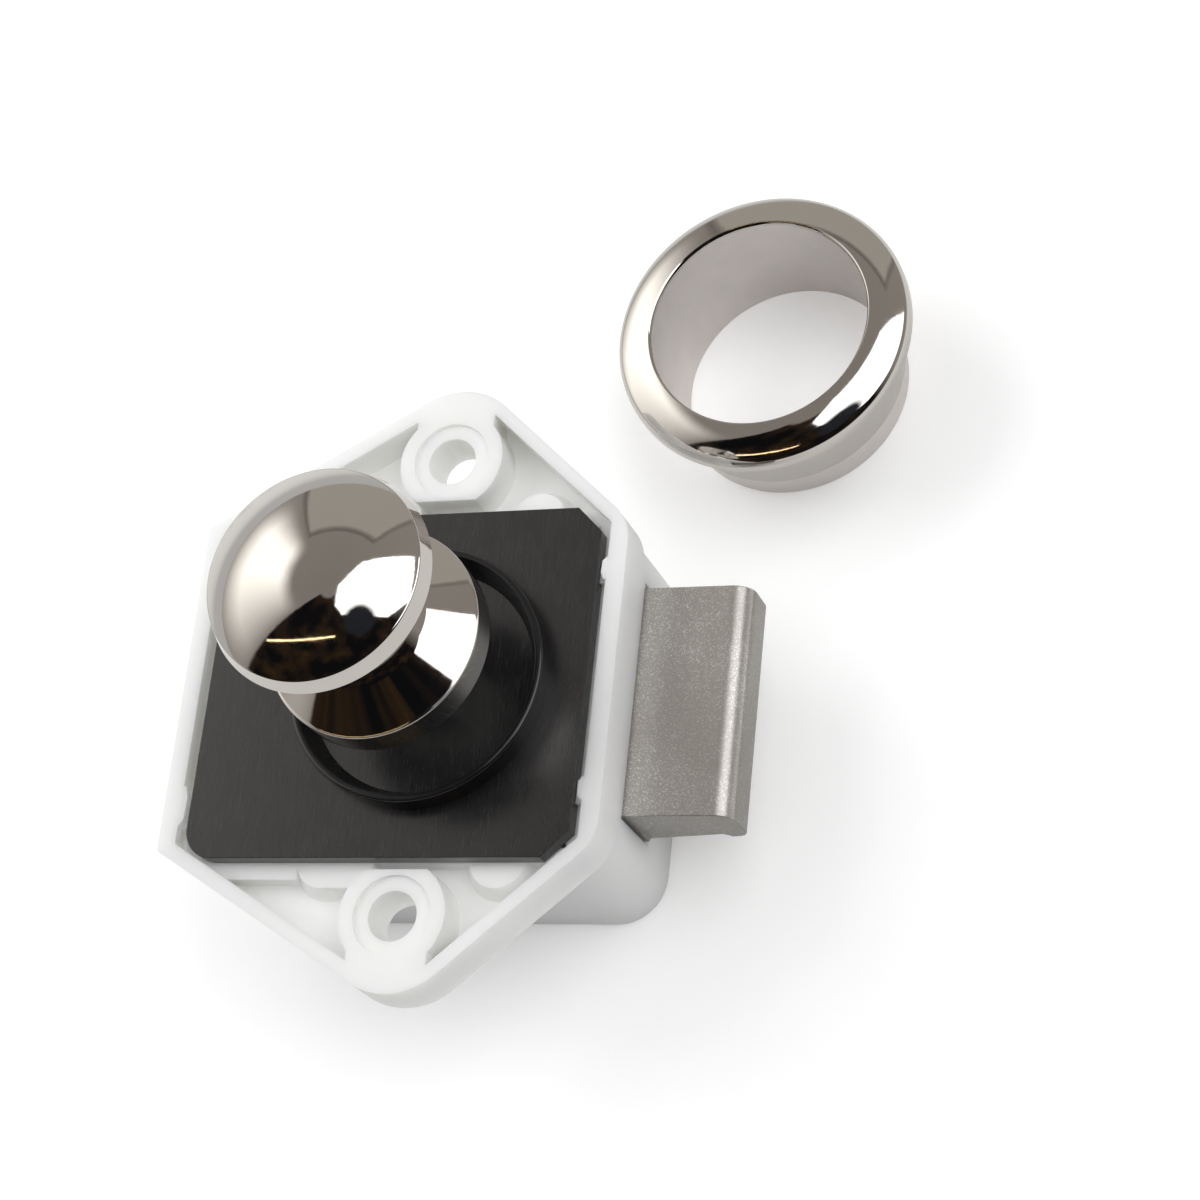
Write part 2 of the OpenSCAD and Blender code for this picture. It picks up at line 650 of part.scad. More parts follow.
module plunger() {
    difference() {
        union() {
            translate([0, 0, bar_z0]) linear_extrude(bar_z1 - bar_z0) bar_section();
            both_sides() translate([0, wedge_y, 0]) rotate([90, 0, 0]) linear_extrude(wedge_t + eps)
                polygon([[wedge_x0, wedge_z0], [bar_front, wedge_z0], [bar_front, wedge_top]]);
        }
        translate([0, 0, bar_z0 - 1]) cylinder(r = bore_r, h = bore_len + 1);
        translate([0, 0, screw_seat_z - 1]) cylinder(r = screw_r + 0.2, h = bar_z1 - screw_seat_z + 2);
        translate([-bar_back - 1, 0, 0]) rotate([90, 0, 90]) linear_extrude(track_d + 1) track_2d();
    }
}

module knob_screw() {
    z0 = screw_seat_z - washer_t;
    translate([0, 0, z0 - eps]) cylinder(r = screw_r, h = screw_len + washer_t - 0.5 + eps);
    difference() {
        translate([0, 0, z0 - screw_head_h]) cylinder(r = screw_head_r, h = screw_head_h);
        translate([0, 0, z0 - screw_head_h - 1]) cylinder(r = 1.15, h = 2, $fn = 6);
    }
}

module knob_washer() {
    translate([0, 0, screw_seat_z - washer_t]) difference() {
        cylinder(r = bore_r - fit, h = washer_t);
        translate([0, 0, -1]) cylinder(r = screw_r + 0.1, h = washer_t + 2);
    }
}

module knob_spring() {
    translate([0, 0, cav_z0 + 0.05]) coil(knob_coil_r, knob_coil_l, knob_curls, knob_wire);
}

module bolt_spring() {
    translate([cav_x0 + 0.05, 0, spring_z]) rotate([0, 90, 0]) coil(bolt_coil_r, bolt_coil_l, bolt_curls, bolt_wire);
}

module bolt_spring_a() {
    translate([0, spring_y, 0]) bolt_spring();
}

module bolt_spring_b() {
    translate([0, -spring_y, 0]) bolt_spring();
}

// Side view of the bolt's head
module head_2d() {
    low = bolt_bot + bolt_bevel;
    ta = atan(bolt_bevel / bolt_out);
    polygon(concat(
        [[head_x0, bolt_top], [head_x0, bolt_bot], [case_right, bolt_bot]],
        arc([bolt_x1 - bolt_low_r, low + bolt_low_r + 0.15], bolt_low_r, -90 + ta, 0, 5),
        arc([bolt_x1 - bolt_r, bolt_top - bolt_r], bolt_r, 0, 90, 8)
    ));
}

module arm_2d() {
    polygon([[arm_x0, arm_bot], [arm_x1, arm_bot], [arm_x1, arm_top], [arm_x0, arm_top]]);
}

// Part of an arm that the wedge pushes on; in a deep case it ends at the back of the arm
module ramp_2d() {
    function ramp_x(z) = wedge_x0 - wedge_gap + wedge_ratio * (z - wedge_z0);
    foot = max(arm_bot, wedge_z0 + (arm_x0 + fit + wedge_gap - wedge_x0) / wedge_ratio);
    polygon([[arm_x0, foot], [ramp_x(foot), foot], [ramp_x(arm_top), arm_top], [arm_x0, arm_top]]);
}

module along_y(y0, y1) {
    translate([0, y1, 0]) rotate([90, 0, 0]) linear_extrude(y1 - y0) children();
}

module latch_bolt() {
    difference() {
        union() {
            along_y(-bolt_w / 2, bolt_w / 2) head_2d();
            both_sides() {
                along_y(arm_in, arms_w / 2) arm_2d();
                along_y(thick_in, arm_in + eps) ramp_2d();
            }
            translate([arm_x0, -arm_in, arm_bot]) cube([cross_x1 - arm_x0, 2 * arm_in, cross_h]);
            translate([head_x0, -arm_in - eps, arm_bot])
                cube([arm_x1 - head_x0, 2 * (arm_in + eps), bolt_bot - arm_bot + 1]);
        }
        both_sides() {
            // pocket of the bolt spring
            translate([arm_x0 - 1, spring_y, spring_z]) rotate([0, 90, 0])
                cylinder(r = pocket_r, h = pocket_x1 - arm_x0 + 1);
            // shallow hollow in the end face
            translate([0, bolt_w / 2 + 1, 0]) rotate([90, 0, 0]) linear_extrude(relief_d + 1)
                polygon([[case_right + 0.3, bolt_top - 4.9], [case_right + 3, bolt_top - 1.8],
                    [case_right + 8.7, bolt_top - 5.9], [case_right + 8.4, bolt_bot - 1], [case_right + 0.3, bolt_bot - 1]]);
        }
    }
}

module cam_pin() {
    translate([cam_px, 0, pin_z]) rotate([0, 0, cam_angle]) {
        rotate([0, 90, 0]) cylinder(d = cam_wire, h = cam_len - cam_wire / 2);
        translate([cam_len - cam_wire / 2, 0, 0]) sphere(d = cam_wire);
        sphere(d = cam_wire);
        translate([0, 0, guide_bot + 0.2 - pin_z]) cylinder(d = cam_wire, h = pin_z - guide_bot - 0.2);
    }
}

module rosette() {
    zf = rosette_z1 - rosette_flange_h;
    crown = rosette_bore_r + rosette_lip;
    // rounded shoulder, then a flatter bow up to the lip
    sr = 1.3;
    bow = 33;
    zs = rosette_z1 - 2.25;
    p0 = [rosette_flange_r - sr + sr * sin(bow), zs + sr * cos(bow)];
    drop = rosette_z1 - p0[1];
    chord = norm([p0[0] - crown, drop]);
    half = bow - atan(drop / (p0[0] - crown));
    br = chord / 2 / sin(half);
    translate([rosette_x, rosette_y, 0]) rotate_extrude() polygon(concat(
        [[rosette_bore_r - 0.2, rosette_z0 + 0.2], [rosette_bore_r, rosette_z0],
         [rosette_barrel_r - rosette_taper - 0.2, rosette_z0], [rosette_barrel_r - rosette_taper, rosette_z0 + 0.2],
         [rosette_barrel_r - 0.15, rosette_z0 + rosette_lead], [rosette_barrel_r, rosette_z0 + rosette_lead + 0.15],
         [rosette_barrel_r, zf + 0.35], [rosette_flange_r - 1.4, zf + 0.35], [rosette_flange_r - 1.2, zf],
         [rosette_flange_r - 0.35, zf], [rosette_flange_r - 0.12, zf + 0.25]],
        arc([rosette_flange_r - sr, zs], sr, 0, 90 - bow, 5),
        [for (k = [1:8]) let (a = bow - 2 * half * k / 8)
            p0 + br * [sin(a) - sin(bow), cos(a) - cos(bow)]],
        [[rosette_bore_r + 0.12, rosette_z1 - 0.05], [rosette_bore_r, rosette_z1 - 0.2]]
    ));
}

color("white") case();
color("dimgray") cover_plate();
color("black") collar();
color("ivory") guide_plate();
color("silver") guide_screws();
color("silver") spring_pins();
color("silver") pin_spring();
color("gainsboro") knob();
color("ivory") plunger();
color("silver") knob_screw();
color("silver") knob_washer();
color("silver") knob_spring();
color("gray") latch_bolt();
color("silver") bolt_spring_a();
color("silver") bolt_spring_b();
color("silver") cam_pin();
color("gainsboro") rosette();
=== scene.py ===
import math

import bmesh
import bpy
from mathutils import Matrix, Quaternion, Vector


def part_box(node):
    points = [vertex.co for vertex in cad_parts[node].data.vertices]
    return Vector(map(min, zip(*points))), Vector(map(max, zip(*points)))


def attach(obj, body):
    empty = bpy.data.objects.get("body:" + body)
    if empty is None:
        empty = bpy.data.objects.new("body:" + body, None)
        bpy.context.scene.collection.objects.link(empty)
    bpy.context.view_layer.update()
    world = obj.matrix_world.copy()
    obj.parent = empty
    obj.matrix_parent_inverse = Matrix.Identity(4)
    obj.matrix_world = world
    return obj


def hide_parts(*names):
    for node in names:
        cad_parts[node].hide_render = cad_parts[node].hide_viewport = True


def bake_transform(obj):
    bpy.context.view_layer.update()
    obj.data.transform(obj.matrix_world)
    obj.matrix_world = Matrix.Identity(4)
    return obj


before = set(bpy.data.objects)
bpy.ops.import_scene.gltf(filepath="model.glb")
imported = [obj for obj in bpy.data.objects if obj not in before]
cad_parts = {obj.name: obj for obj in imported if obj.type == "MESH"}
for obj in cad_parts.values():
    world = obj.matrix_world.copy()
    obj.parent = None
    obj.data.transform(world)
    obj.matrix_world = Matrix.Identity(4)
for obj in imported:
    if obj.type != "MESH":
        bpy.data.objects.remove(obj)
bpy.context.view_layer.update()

MM = 0.001
scene = bpy.context.scene

# Places in the frame, in millimetres
TABLE_Z = -21.5
PLATE_TOP = -0.3
ROSETTE_AXIS = (27.5, 39.8)

# Camera: place in metres, angles in degrees, sensor and lens in millimetres
CAMERA_PLACE = Vector((0.106346, -0.092869, 0.232462))
CAMERA_AZIMUTH = -48.3348
CAMERA_HEIGHT = 59.9518
CAMERA_ROLL = -39.5634
SENSOR_WIDTH = 36
FOCAL_LENGTH = 86.648

# Lamps and floor, in metres
LAMP_TARGET = Vector((0.01, 0.01, 0))
LAMP_AWAY = 0.7
LAMP_SIDE = 0.6
FLOOR_HALF = 3.0

# What shines overhead. A corner is the (x, y) where its direction meets a plane that is one above the lock
OCTAGON = [(0.10, -0.20), (0.111, 0.052), (0.386, 0.429), (1.9, 1.28), (1.8, -0.05), (1.10, -0.42),
           (0.20, -0.33)]
TUBE = [(-1.34, -0.79), (0.12, -0.692), (0.12, -0.662), (-1.34, -0.75)]


# Camera

def bearing(azimuth, height):
    """Unit vector towards an azimuth and a height above the table, in degrees."""
    a, e = math.radians(azimuth), math.radians(height)
    return Vector((math.cos(e) * math.cos(a), math.cos(e) * math.sin(a), math.sin(e)))


def photo_camera():
    """Camera where the photographer's was, looking down at the lock from over the bolt's corner."""
    lens = bpy.data.cameras.new("camera")
    lens.sensor_width = SENSOR_WIDTH
    lens.lens = FOCAL_LENGTH
    lens.clip_start = 0.01
    lens.clip_end = 20
    camera = bpy.data.objects.new("camera", lens)
    level = bearing(CAMERA_AZIMUTH, CAMERA_HEIGHT).to_track_quat("Z", "Y")
    turn = level @ Quaternion((0, 0, 1), math.radians(CAMERA_ROLL))
    camera.matrix_world = Matrix.Translation(CAMERA_PLACE) @ turn.to_matrix().to_4x4()
    scene.collection.objects.link(camera)
    scene.camera = camera


# Node helpers

def connect(tree, value, socket):
    """Links an input to another node's output, or sets the input's own value."""
    if isinstance(value, bpy.types.NodeSocket):
        tree.links.new(value, socket)
    elif socket.type == "RGBA":
        socket.default_value = (*value, 1)
    else:
        socket.default_value = value


def put(tree, kind, settings=None, **sockets):
    """Adds a node. Settings are its own properties, sockets its inputs, by name or as i0, i1 and so on."""
    made = tree.nodes.new(kind)
    for key, value in (settings or {}).items():
        setattr(made, key, value)
    for key, value in sockets.items():
        numbered = key[0] == "i" and key[1:].isdigit()
        connect(tree, value, made.inputs[int(key[1:]) if numbered else key.replace("_", " ")])
    return made


def maths(tree, what, a, b=0.0, c=0.0, clamp=False):
    """A Math node of up to three values."""
    return put(tree, "ShaderNodeMath", {"operation": what, "use_clamp": clamp}, i0=a, i1=b, i2=c).outputs[0]


def product(tree, share, *others):
    """Several shares multiplied."""
    for other in others:
        share = maths(tree, "MULTIPLY", share, other)
    return share


def dot(tree, way, direction):
    """Cosine between a link and a fixed direction."""
    made = put(tree, "ShaderNodeVectorMath", {"operation": "DOT_PRODUCT"}, i0=way, i1=direction)
    return made.outputs["Value"]


def spread(tree, value, low, high, out_low=0.0, out_high=1.0, soft=False):
    """Maps value from low..high to out_low..out_high, clamped."""
    kind = {"interpolation_type": "SMOOTHSTEP" if soft else "LINEAR"}
    return put(tree, "ShaderNodeMapRange", kind, Value=value, From_Min=low, From_Max=high,
               To_Min=out_low, To_Max=out_high).outputs[0]


def blend_colour(tree, share, first, second):
    """The first colour where share is 0, the second where it is 1."""
    made = put(tree, "ShaderNodeMix", {"data_type": "RGBA"}, i0=share, i6=first, i7=second)
    return made.outputs[2]


def place(tree, stretch=(1, 1, 1), centre=(0, 0, 0)):
    """Object coordinates, in metres, from a centre, stretched so that a grain can run along one axis."""
    spot = tree.nodes.new("ShaderNodeTexCoord").outputs["Object"]
    moved = put(tree, "ShaderNodeMapping", {"vector_type": "TEXTURE"}, Vector=spot, Location=centre)
    return put(tree, "ShaderNodeMapping", Vector=moved.outputs[0], Scale=stretch).outputs[0]


def cloud(tree, where, per_mm, detail=3.0, rough=0.5):
    """Even noise, per_mm features in a millimetre."""
    return put(tree, "ShaderNodeTexNoise", Vector=where, Scale=per_mm / MM, Detail=detail,
               Roughness=rough).outputs["Fac"]


def ray(tree, *kinds):
    """1 on the rays of these kinds, which are named as Light Path names them."""
    path = tree.nodes.new("ShaderNodeLightPath").outputs
    share = path[kinds[0]]
    for kind in kinds[1:]:
        share = maths(tree, "MAXIMUM", share, path[kind])
    return share


def new_finish(name):
    """A new material, with its node tree and its shader."""
    finish = bpy.data.materials.new(name)
    finish.use_nodes = True
    tree = finish.node_tree
    return finish, tree, tree.nodes["Principled BSDF"]


def relief(tree, shader, height, bump_mm, strength):
    """Bumps this deep where height goes from 0 to 1, their slopes weakened by strength."""
    bump = put(tree, "ShaderNodeBump", Strength=strength, Distance=bump_mm * MM, Height=height)
    tree.links.new(bump.outputs[0], shader.inputs["Normal"])


def mottled(name, tones, tone_grain, rough, rough_grain, bump_grain, bump_mm, bump_strength,
            rough_share=(0.3, 0.7), **constants):
    """A finish whose colour, roughness and bumps each follow a noise of their own.

    A grain is the noise's (features in a millimetre, detail). The constants are other inputs of the shader.
    """
    finish, tree, shader = new_finish(name)
    where = place(tree)
    connect(tree, blend_colour(tree, cloud(tree, where, *tone_grain), *tones), shader.inputs["Base Color"])
    uneven = spread(tree, cloud(tree, where, *rough_grain), *rough_share, *rough)
    connect(tree, uneven, shader.inputs["Roughness"])
    relief(tree, shader, cloud(tree, where, *bump_grain), bump_mm, bump_strength)
    for key, value in constants.items():
        shader.inputs[key.replace("_", " ")].default_value = value
    return finish


# Finishes

def white_nylon():
    """Moulded nylon: slightly translucent, faint flow clouds, fine mould texture."""
    return mottled("white_nylon_moulding", tones=((0.83, 0.835, 0.82), (0.865, 0.865, 0.855)),
                   tone_grain=(0.12, 4), rough=(0.34, 0.46), rough_grain=(1.1, 3),
                   bump_grain=(6.0, 2), bump_mm=0.012, bump_strength=0.5, IOR=1.5,
                   Subsurface_Weight=0.7, Subsurface_Radius=(1.0, 0.98, 0.85), Subsurface_Scale=0.0035)


def bright_nickel():
    """Warm bright nickel plate, polished, with the faintest ripple."""
    return mottled("bright_nickel_plate", tones=((0.60, 0.575, 0.545), (0.65, 0.625, 0.595)),
                   tone_grain=(0.15, 3), rough=(0.035, 0.075), rough_grain=(0.9, 4), rough_share=(0.35, 0.7),
                   bump_grain=(1.6, 2), bump_mm=0.002, bump_strength=1.0, Metallic=1.0)


def natural_acetal():
    """Natural acetal, waxy and slightly mottled."""
    return mottled("natural_acetal", tones=((0.82, 0.81, 0.75), (0.87, 0.865, 0.81)),
                   tone_grain=(0.25, 4), rough=(0.30, 0.42), rough_grain=(1.5, 3),
                   bump_grain=(5.0, 3), bump_mm=0.01, bump_strength=0.4,
                   Subsurface_Weight=0.15, Subsurface_Scale=0.001)


def zinc_steel():
    """Zinc plated steel with a faint blue cast."""
    return mottled("zinc_plated_steel", tones=((0.56, 0.58, 0.61), (0.68, 0.68, 0.67)),
                   tone_grain=(0.7, 4), rough=(0.24, 0.38), rough_grain=(2.0, 3),
                   bump_grain=(4.0, 3), bump_mm=0.008, bump_strength=0.5, Metallic=1.0)


def spring_wire():
    """Bright drawn spring wire."""
    return mottled("bright_spring_wire", tones=((0.42, 0.42, 0.43), (0.55, 0.55, 0.56)),
                   tone_grain=(1.2, 4), rough=(0.18, 0.30), rough_grain=(3.0, 3),
                   bump_grain=(6.0, 3), bump_mm=0.005, bump_strength=0.5, Metallic=1.0)


def charcoal_plate():
    """Satin charcoal plate with a fine brushed grain along the line of the screw holes."""
    finish, tree, shader = new_finish("charcoal_brushed_plate")
    streak = cloud(tree, place(tree, stretch=(9, 0.35, 9)), per_mm=1.3, detail=5, rough=0.6)
    fine = cloud(tree, place(tree, stretch=(24, 0.6, 24)), per_mm=1.0)
    smudge = cloud(tree, place(tree), per_mm=0.35)
    tone = maths(tree, "MULTIPLY_ADD", streak, 0.6, maths(tree, "MULTIPLY", fine, 0.4))
    share = spread(tree, tone, 0.35, 0.65)
    colour = blend_colour(tree, share, (0.004, 0.0042, 0.005), (0.011, 0.011, 0.0125))
    connect(tree, colour, shader.inputs["Base Color"])
    rough = maths(tree, "MULTIPLY_ADD", smudge, 0.08, spread(tree, streak, 0.3, 0.7, 0.16, 0.25))
    connect(tree, rough, shader.inputs["Roughness"])
    shader.inputs["Specular IOR Level"].default_value = 0.95
    relief(tree, shader, tone, bump_mm=0.01, strength=0.4)
    return finish


def gloss_black():
    """Glossy black ring, with the marks of its turning."""
    finish, tree, shader = new_finish("gloss_black_ring")
    smudge = cloud(tree, place(tree), per_mm=0.8)
    colour = blend_colour(tree, smudge, (0.005, 0.005, 0.006), (0.011, 0.011, 0.012))
    connect(tree, colour, shader.inputs["Base Color"])
    rings = cloud(tree, place(tree, stretch=(0.4, 0.4, 14)), per_mm=1.2, detail=2)
    connect(tree, spread(tree, rings, 0.3, 0.7, 0.11, 0.19), shader.inputs["Roughness"])
    relief(tree, shader, rings, bump_mm=0.006, strength=0.4)
    return finish


def satin_nickel():
    """Nickel over a turned, unpolished surface, in the rosette's bore and on its end."""
    finish, tree, shader = new_finish("satin_nickel_bore")
    axis = (ROSETTE_AXIS[0] * MM, ROSETTE_AXIS[1] * MM, 0)
    rings = cloud(tree, place(tree, stretch=(0.5, 0.5, 8), centre=axis), per_mm=1.0, detail=4)
    smudge = cloud(tree, place(tree), per_mm=0.3, detail=4)
    colour = blend_colour(tree, smudge, (0.76, 0.725, 0.71), (0.87, 0.835, 0.82))
    connect(tree, colour, shader.inputs["Base Color"])
    connect(tree, spread(tree, rings, 0.3, 0.7, 0.30, 0.42), shader.inputs["Roughness"])
    shader.inputs["Metallic"].default_value = 0.85
    relief(tree, shader, rings, bump_mm=0.01, strength=0.4)
    return finish


def silver_bolt(name, brightness):
    """Silver-grey moulded plastic with metallic flake, in faint flow clouds."""
    finish, tree, shader = new_finish(name)
    where = place(tree)
    flake = put(tree, "ShaderNodeTexVoronoi", {"feature": "F1"}, Vector=where, Scale=11.0 / MM)
    lot = put(tree, "ShaderNodeSeparateColor", Color=flake.outputs["Color"]).outputs[0]
    swirl = spread(tree, cloud(tree, where, per_mm=0.11, detail=4, rough=0.55), 0.35, 0.65, soft=True)
    glint = product(tree, spread(tree, lot, 0.72, 1.0), spread(tree, swirl, 0.0, 1.0, 0.45, 1.0))
    base = blend_colour(tree, swirl, (0.425, 0.40, 0.375), (0.475, 0.455, 0.43))
    colour = blend_colour(tree, glint, base, (0.82, 0.80, 0.77))
    # brightness below 1 darkens the whole colour: a painted-shade copy of this finish
    toned = put(tree, "ShaderNodeVectorMath", {"operation": "SCALE"}, i0=colour, Scale=brightness)
    connect(tree, toned.outputs[0], shader.inputs["Base Color"])
    uneven = spread(tree, cloud(tree, where, per_mm=2.2, detail=2), 0.3, 0.7, 0.28, 0.38)
    connect(tree, uneven, shader.inputs["Roughness"])
    shader.inputs["Metallic"].default_value = 0.7
    relief(tree, shader, cloud(tree, where, per_mm=5.0, detail=2), bump_mm=0.004, strength=0.5)
    return finish


# Shapes

def finished(bm, name, finishes, body, replaced, sharp=30, weigh=True):
    """Turns a bmesh into a piece that rides on its body and stands for its CAD nodes.

    Edges of more than sharp degrees stay sharp. A weighed piece is shaded after its larger faces.
    """
    mesh = bpy.data.meshes.new(name)
    bm.to_mesh(mesh)
    bm.free()
    mesh.polygons.foreach_set("use_smooth", [True] * len(mesh.polygons))
    mesh.set_sharp_from_angle(angle=math.radians(sharp))
    piece = bpy.data.objects.new(name, mesh)
    scene.collection.objects.link(piece)
    for finish in finishes:
        mesh.materials.append(finish)
    if weigh:
        even = piece.modifiers.new("even_shading", "WEIGHTED_NORMAL")
        even.keep_sharp = True
    if body:
        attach(piece, body)
    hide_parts(*replaced)
    return piece


def outline(bm, start, steps):
    """Half section in the XZ plane, in millimetres.

    A step is ("to", r, z), or ("arc", centre r, centre z, degrees, segments).
    """
    last = bm.verts.new((start[0] * MM, 0, start[1] * MM))
    for kind, r, z, *sweep in steps:
        if kind == "to":
            new = bm.verts.new((r * MM, 0, z * MM))
            bm.edges.new((last, new))
            last = new
        else:
            degrees, segments = sweep
            made = bmesh.ops.spin(bm, geom=[last], cent=(r * MM, 0, z * MM), axis=(0, 1, 0),
                                  angle=math.radians(degrees), steps=segments, use_duplicate=False)
            last = [part for part in made["geom_last"] if isinstance(part, bmesh.types.BMVert)][0]
    return last


def turned(start, steps, centre=(0, 0), closed=False, turns=144):
    """A turned part: its half section spun about its own axis."""
    bm = bmesh.new()
    last = outline(bm, start, steps)
    bm.verts.ensure_lookup_table()
    if closed:
        bm.edges.new((last, bm.verts[0]))
    bmesh.ops.spin(bm, geom=bm.verts[:] + bm.edges[:], cent=(0, 0, 0), axis=(0, 0, 1), angle=math.tau,
                   steps=turns, use_merge=True, use_duplicate=False)
    bmesh.ops.remove_doubles(bm, verts=bm.verts, dist=1e-7)
    bmesh.ops.translate(bm, verts=bm.verts, vec=(centre[0] * MM, centre[1] * MM, 0))
    bmesh.ops.recalc_face_normals(bm, faces=bm.faces)
    return bm


def cad_copy(node):
    """A merged copy of a CAD node's mesh, its flat faces in one piece."""
    bm = bmesh.new()
    bm.from_mesh(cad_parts[node].data)
    bmesh.ops.remove_doubles(bm, verts=bm.verts, dist=1e-6)
    bmesh.ops.dissolve_limit(bm, angle_limit=math.radians(0.5), verts=bm.verts, edges=bm.edges,
                             delimit={"NORMAL"})
    for face in bm.faces:
        face.material_index = 0
    return bm


def eased(node, name, finish, body, width, least=35):
    """A CAD node's shape, with edges of least degrees or more eased as moulding or tumbling leaves them."""
    piece = finished(cad_copy(node), name, [finish], body, [node], sharp=least, weigh=False)
    ease = piece.modifiers.new("eased_edges", "BEVEL")
    ease.width = width * MM
    ease.segments = 2
    ease.limit_method = "ANGLE"
    ease.angle_limit = math.radians(least)
    ease.miter_outer = "MITER_ARC"
    ease.use_clamp_overlap = True
    ease.harden_normals = False
    even = piece.modifiers.new("even_shading", "WEIGHTED_NORMAL")
    even.keep_sharp = False
    return piece


def shade_as_ball(piece, above, radius):
    """Fixes a piece's shading, and shades its faces above a height as a ball about the Z axis."""
    mesh = piece.data
    even = piece.evaluated_get(bpy.context.evaluated_depsgraph_get()).data
    facing = [corner.vector.copy() for corner in even.corner_normals]
    piece.modifiers.clear()
    for face in mesh.polygons:
        if face.center.z > above * MM:
            for corner in face.loop_indices:
                spot = mesh.vertices[mesh.loops[corner].vertex_index].co
                across = Vector((spot.x, spot.y)) / (radius * MM)
                facing[corner] = Vector((across.x, across.y, math.sqrt(1 - across.length_squared)))
    mesh.normals_split_custom_set(facing)


# Pieces

def knob(nickel):
    """Knob: chamfered base, cone, hollow waist, head with an upright polished rim round a domed face."""
    base_r, foot_z, base_top_z = 10.25, 8.7, 11.95
    foot_round, edge_round = 0.4, 0.15
    cone_r, cone_z, cone_slope = 9.95, 12.2, math.radians(39.5)
    waist_r, waist_round, waist_sweep = 5.2, 4.0, 107.9
    head_r, head_z = 10.5, 23.8
    face_r, face_z, dome_z = 9.92, 25.5, 10.2
    # the hollow of the waist carries on from the cone
    hollow_r = waist_r + waist_round
    neck_r = hollow_r - waist_round * math.sin(cone_slope)
    neck_z = cone_z + (cone_r - neck_r) * math.tan(cone_slope)
    hollow_z = neck_z + waist_round * math.cos(cone_slope)
    dome_sweep = math.degrees(math.atan2(face_r, face_z - dome_z))
    bm = turned((0, foot_z), [
        ("to", base_r - foot_round, foot_z), ("arc", base_r - foot_round, foot_z + foot_round, -90, 5),
        ("to", base_r, base_top_z), ("arc", base_r - edge_round, base_top_z, -75, 5),
        ("to", cone_r, cone_z), ("to", neck_r, neck_z), ("arc", hollow_r, hollow_z, waist_sweep, 24),
        # both edges of the rim are eased in two steps
        ("to", head_r - 0.2, head_z - 0.2), ("to", head_r - 0.05, head_z - 0.12), ("to", head_r, head_z),
        ("to", face_r + 0.14, face_z - 0.14), ("to", face_r + 0.1, face_z - 0.07), ("to", face_r, face_z),
        ("arc", 0, dome_z, -dome_sweep, 26),
    ])
    piece = finished(bm, "knob_turned", [nickel], "knob_unit", ["knob"], sharp=28)
    # the dome is shaded a little rounder than its outline, as the mirror image in it shows
    shade_as_ball(piece, above=face_z, radius=14.062)


def collar(black_gloss):
    """Pressed ring that centres the lock in the door hole, with a tongue in the plate's groove."""
    outer_r, inner_r, top_z = 12.75, 11.05, PLATE_TOP + 2.4
    brow_round, lip_r, lip_round = 0.37, 12.15, 0.15
    tongue_r, tongue_inner_r, tongue_z = outer_r - 0.25, inner_r + 0.3, PLATE_TOP - 0.58
    bm = turned((tongue_inner_r, tongue_z), [
        ("to", tongue_r, tongue_z), ("to", tongue_r, PLATE_TOP), ("to", outer_r, PLATE_TOP),
        ("to", outer_r, top_z - brow_round), ("arc", outer_r - brow_round, top_z - brow_round, -90, 6),
        ("to", lip_r, top_z), ("arc", lip_r, top_z - lip_round, -68, 4),
        ("to", inner_r, PLATE_TOP + 0.02), ("to", inner_r, PLATE_TOP), ("to", tongue_inner_r, PLATE_TOP),
    ], closed=True)
    finished(bm, "collar_turned", [black_gloss], "housing", ["collar"])


def rosette(nickel, satin):
    """Loose rosette: tapered end, barrel, and a flange that is rounded up to the lip of the bore."""
    bore_r, lip_r, barrel_r, end_r, flange_r = 11.1, 11.0, 12.4, 11.9, 14.9
    taper_z = TABLE_Z + 3.7
    groove_r, groove_z, flange_z = 13.5, -9.85, -10.2
    shoulder_z, shoulder_round, shoulder_sweep = -9.25, 1.3, 57
    bow_round, bow_sweep = 7.906, 24
    lip_z = -7.6
    edge_round = 0.35
    # the bow starts where the shoulder ends, in the same direction
    tilt = math.radians(shoulder_sweep)
    shoulder_r = flange_r - shoulder_round
    bow_r = shoulder_r - (bow_round - shoulder_round) * math.cos(tilt)
    bow_z = shoulder_z - (bow_round - shoulder_round) * math.sin(tilt)
    bm = turned((bore_r, TABLE_Z + 0.2), [
        ("to", bore_r + 0.15, TABLE_Z), ("to", end_r - 0.2, TABLE_Z), ("to", end_r, TABLE_Z + 0.2),
        ("to", barrel_r - 0.15, taper_z), ("to", barrel_r, taper_z + 0.15), ("to", barrel_r, groove_z),
        ("to", groove_r, groove_z), ("to", groove_r + 0.2, flange_z), ("to", flange_r - edge_round, flange_z),
        ("arc", flange_r - edge_round, flange_z + edge_round, -78, 4), ("to", flange_r, shoulder_z),
        ("arc", shoulder_r, shoulder_z, -shoulder_sweep, 12), ("arc", bow_r, bow_z, -bow_sweep, 14),
        ("to", bore_r, lip_z + 0.54), ("to", lip_r, lip_z + 0.38), ("to", lip_r, lip_z + 0.1),
        ("to", bore_r, lip_z),
    ], centre=ROSETTE_AXIS, closed=True)
    for face in bm.faces:
        spot = face.calc_center_median() / MM
        inside = math.hypot(spot.x - ROSETTE_AXIS[0], spot.y - ROSETTE_AXIS[1]) < bore_r + 0.1
        if (inside and spot.z < lip_z + 0.05) or spot.z < taper_z + 0.1:
            face.material_index = 1
    finished(bm, "rosette_turned", [nickel, satin], "rosette_unit", ["rosette"])


def latch_bolt(silver, silver_painted_shade):
    """Latch bolt, its front and its two end faces painted darker with a second copy of its finish, as painted
    shade.
    """
    bolt = eased("latch_bolt", "bolt_moulding", silver, "bolt_unit", width=0.15)
    bolt.data.materials.append(silver_painted_shade)
    # faces that face along Y, and the front, take the painted-shade copy of the finish
    for face in bolt.data.polygons:
        if abs(face.normal.y) > 0.9 or face.normal.x > 0.9:
            face.material_index = 1


